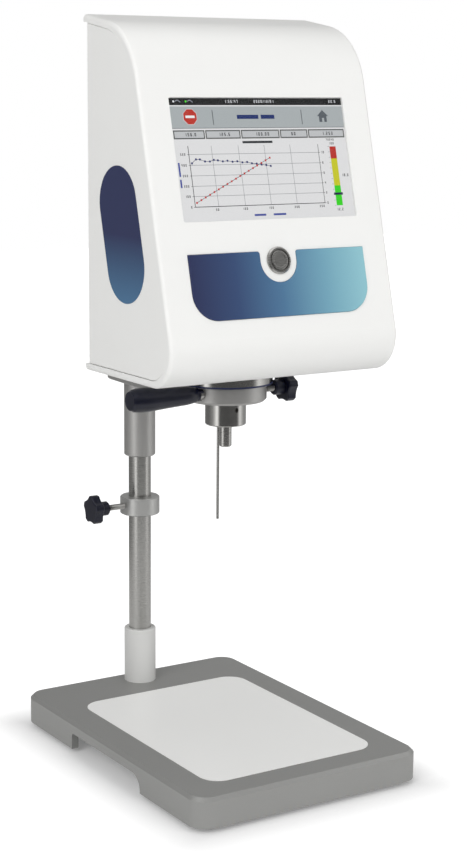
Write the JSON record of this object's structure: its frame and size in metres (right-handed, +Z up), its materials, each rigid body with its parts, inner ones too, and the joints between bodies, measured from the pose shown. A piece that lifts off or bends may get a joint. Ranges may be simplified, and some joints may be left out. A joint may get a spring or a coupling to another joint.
{
  "type": "rotational viscometer",
  "caption": "Benchtop rotational viscometer: sloping white head with touch display on a height-adjustable arm over a flat sample base.",
  "frame": {"origin": "on the table under the middle of the object's outline", "axes": "+X across the width to the right seen from the front, +Y to the back, +Z up along the column"},
  "size_m": [0.2, 0.2874, 0.5765],
  "materials": {
    "base_paint": "fine textured grey paint",
    "inlay": "smooth satin white",
    "rubber": "black",
    "steel": "turned and brushed",
    "white_sleeve": "satin white",
    "collar_metal": "satin",
    "knob": "dark blue, slightly glossy",
    "brass": "turned",
    "arm_metal": "satin grey",
    "gasket": "dark blue",
    "housing": "warm white, low gloss",
    "blue_inlay": "blue gradient",
    "glass": "clear",
    "screen": "lit display",
    "frame_metal": "folded sheet",
    "board": "green circuit board",
    "black_plastic": "black",
    "motor_metal": "satin"
  },
  "bodies": {
    "base": {"base_casting": "base_paint", "base_inlay": "inlay", "base_feet": "rubber", "foot_screws": "steel", "column": "steel", "column_socket": "white_sleeve", "column_bolt": "steel"},
    "collar": {"stop_collar": "collar_metal"},
    "collar_pad_body": {"collar_pad": "brass"},
    "collar_knob_body": {"collar_stud": "steel", "collar_knob": "knob"},
    "guide": {"guide_bushes": "brass"},
    "arm": {"carrier_sleeve": "arm_metal", "carrier_arm": "arm_metal", "lift_handle": "knob", "handle_stud": "steel"},
    "height_pad_body": {"height_lock_pad": "brass"},
    "height_knob_body": {"height_lock_stud": "steel", "height_lock_knob": "knob"},
    "plug_body": {"head_lock_plug": "brass"},
    "plug_knob_body": {"head_lock_stud": "steel", "head_lock_knob": "knob"},
    "drive": {"motor_shaft": "steel", "drive_hub": "collar_metal"},
    "spindle": {"spindle_shaft": "steel", "spindle_coupling": "steel", "coupling_screw": "steel", "torsion_wire": "steel", "encoder_disc": "frame_metal"},
    "button": {"button_cap": "steel"},
    "rocker": {"power_rocker": "black_plastic"},
    "head": {"flange_gasket": "gasket", "head_flange": "steel", "flange_screws": "steel", "bearings": "steel", "encoder_reader": "black_plastic", "motor_plate": "collar_metal", "motor": "motor_metal", "motor_pillars": "collar_metal", "probe": "steel", "probe_gland": "steel", "head_shell": "housing", "left_cheek": "housing", "right_cheek": "housing", "left_cheek_inlay": "blue_inlay", "display_glass": "glass", "display_panel": "screen", "display_frame": "frame_metal", "front_plate": "blue_inlay", "button_bezel": "steel", "button_nut": "steel", "button_switch": "black_plastic", "chassis_plate": "collar_metal", "back_panel": "collar_metal", "panel_screws": "steel", "main_board": "board", "board_pillars": "steel", "power_inlet": "black_plastic", "power_switch_body": "black_plastic", "data_sockets": "frame_metal"}
  },
  "joints": [
    {"name": "stop_collar_slide", "type": "slide", "parent": "base", "child": "collar", "axis": [0, 0, 1], "range_m": [-0.098, 0.033]},
    {"name": "collar_pad_slide", "type": "slide", "parent": "collar", "child": "collar_pad_body", "axis": [-1, 0, 0], "range_m": [0, 0.0016]},
    {"name": "collar_knob_turn", "type": "hinge", "parent": "collar_pad_body", "child": "collar_knob_body", "pos_m": [-0.04, 0.1172, 0.17995], "axis": [-1, 0, 0], "range_deg": [0, 720]},
    {"name": "carrier_lift", "type": "slide", "parent": "base", "child": "guide", "axis": [0, 0, 1], "range_m": [-0.033, 0.21]},
    {"name": "carrier_turn", "type": "hinge", "parent": "guide", "child": "arm", "pos_m": [0, 0.1172, 0.257], "axis": [0, 0, 1], "range_deg": [-90, 90]},
    {"name": "height_pad_slide", "type": "slide", "parent": "arm", "child": "height_pad_body", "axis": [1, 0, 0], "range_m": [0, 0.0016]},
    {"name": "height_knob_turn", "type": "hinge", "parent": "height_pad_body", "child": "height_knob_body", "pos_m": [0.04, 0.1172, 0.2972], "axis": [1, 0, 0], "range_deg": [0, 720]},
    {"name": "head_plug_slide", "type": "slide", "parent": "arm", "child": "plug_body", "axis": [1, 0, 0], "range_m": [0, 0.0015]},
    {"name": "head_knob_turn", "type": "hinge", "parent": "plug_body", "child": "plug_knob_body", "pos_m": [0.04, -0.0287, 0.2973], "axis": [1, 0, 0], "range_deg": [0, 540]},
    {"name": "head_turn", "type": "hinge", "parent": "arm", "child": "head", "pos_m": [0, -0.0167, 0.307], "axis": [0, 0, 1], "range_deg": [-90, 90]},
    {"name": "motor_turn", "type": "hinge", "parent": "head", "child": "drive", "pos_m": [0, -0.0167, 0.401], "axis": [0, 0, 1], "continuous": true},
    {"name": "spindle_twist", "type": "hinge", "parent": "drive", "child": "spindle", "pos_m": [0, -0.0167, 0.327], "axis": [0, 0, 1], "range_deg": [-20, 20], "stiffness_Nm_per_rad": 0.086},
    {"name": "start_button", "type": "slide", "parent": "head", "child": "button", "axis": [0, 0.9682, -0.2502], "range_m": [0, 0.0012], "stiffness_N_per_m": 1200, "springref_m": -0.0015},
    {"name": "power_rocker_tilt", "type": "hinge", "parent": "head", "child": "rocker", "pos_m": [0.022, 0.0153, 0.34], "axis": [1, 0, 0], "range_deg": [0, 16]}
  ],
  "couplings": [
    {"joint": "collar_knob_turn", "follows": "collar_pad_slide", "rad_per_m": 7854},
    {"joint": "height_knob_turn", "follows": "height_pad_slide", "rad_per_m": 7854},
    {"joint": "head_knob_turn", "follows": "head_plug_slide", "rad_per_m": 6283.2}
  ]
}
